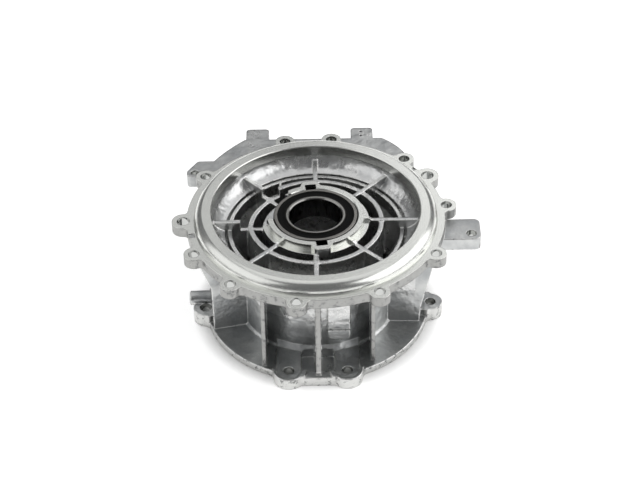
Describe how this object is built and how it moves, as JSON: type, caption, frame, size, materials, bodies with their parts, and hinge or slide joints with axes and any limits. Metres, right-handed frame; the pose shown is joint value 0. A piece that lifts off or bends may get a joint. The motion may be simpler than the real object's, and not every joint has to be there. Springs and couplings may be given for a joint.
{
  "type": "transfer case extension",
  "caption": "Cast transfer case extension: open ribbed bowl with a bolted ring of ears, foot flange and side lugs, carrying a sealed ball bearing in its hub.",
  "frame": {"origin": "on the bearing axis, in the machined underside of the foot flange", "axes": "+Z along the bearing axis from the foot to the open bowl, -Y to the side with the two front foot ears, +X to the longer side lug"},
  "size_m": [0.2909, 0.2902, 0.1229],
  "materials": {
    "cast_aluminium": "as die cast, joint faces machined",
    "bearing_steel": "ground",
    "cage_polymer": "moulded",
    "seal_rubber": "moulded, slightly glossy",
    "spring_steel": "blackened"
  },
  "bodies": {
    "casting": {"housing": "cast_aluminium", "bearing_outer_ring": "bearing_steel", "bearing_seal_upper": "seal_rubber", "bearing_seal_lower": "seal_rubber", "retaining_ring": "spring_steel"},
    "inner_ring": {"bearing_inner_ring": "bearing_steel"},
    "ball_cage": {"bearing_cage": "cage_polymer", "bearing_balls": "bearing_steel"}
  },
  "joints": [
    {"name": "inner_ring_spin", "type": "hinge", "parent": "casting", "child": "inner_ring", "pos_m": [0, 0, 0.1034], "axis": [0, 0, 1], "continuous": true},
    {"name": "cage_spin", "type": "hinge", "parent": "casting", "child": "ball_cage", "pos_m": [0, 0, 0.1034], "axis": [0, 0, 1], "continuous": true}
  ],
  "couplings": [
    {"joint": "cage_spin", "follows": "inner_ring_spin", "ratio": 0.4268}
  ]
}
